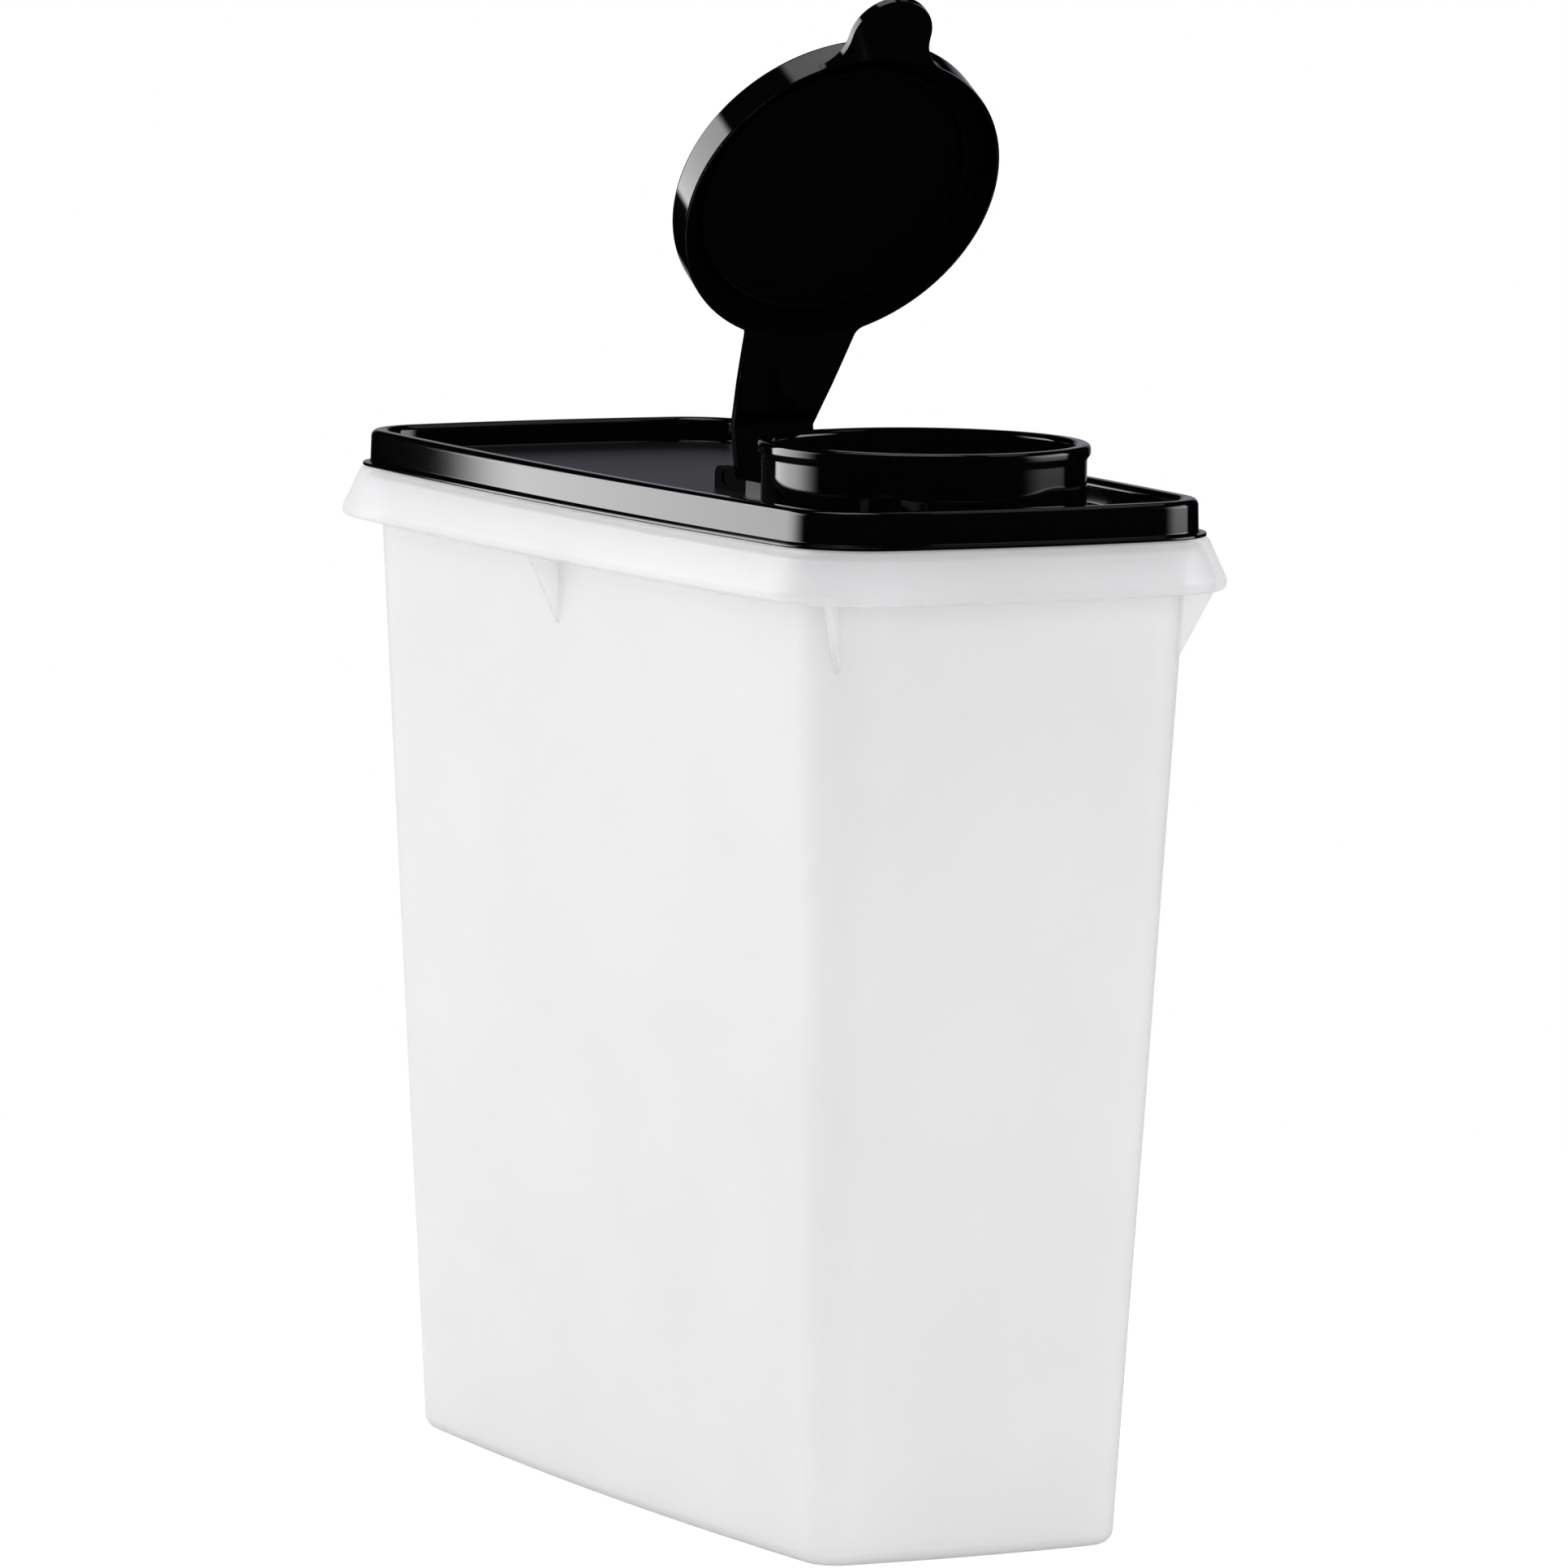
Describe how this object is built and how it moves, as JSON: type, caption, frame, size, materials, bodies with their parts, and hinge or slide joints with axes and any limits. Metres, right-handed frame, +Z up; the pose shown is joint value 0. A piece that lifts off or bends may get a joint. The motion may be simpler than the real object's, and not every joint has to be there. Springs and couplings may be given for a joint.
{
  "type": "cereal container",
  "caption": "Tall tapered food keeper with a flared skirt, a press-on lid and a round flip cap that hinges over a pour collar.",
  "frame": {"origin": "centre of the bin's flat base, on the table", "axes": "+X along the length towards the pour collar, +Y across the width, +Z up"},
  "size_m": [0.2576, 0.1196, 0.3411],
  "materials": {
    "translucent_bin": "translucent natural polypropylene, satin",
    "black_lid": "gloss black polypropylene",
    "black_cap": "gloss black polypropylene"
  },
  "bodies": {
    "container": {"container": "translucent_bin"},
    "lid": {"lid": "black_lid"},
    "flip_cap": {"flip_cap": "black_cap"}
  },
  "joints": [
    {"name": "lid_lift", "type": "slide", "parent": "container", "child": "lid", "axis": [0, 0, 1], "range_m": [0, 0.06]},
    {"name": "cap_hinge", "type": "hinge", "parent": "lid", "child": "flip_cap", "pos_m": [0.0016, 0, 0.2305], "axis": [0, -1, 0], "range_deg": [-58.9, 84]}
  ]
}
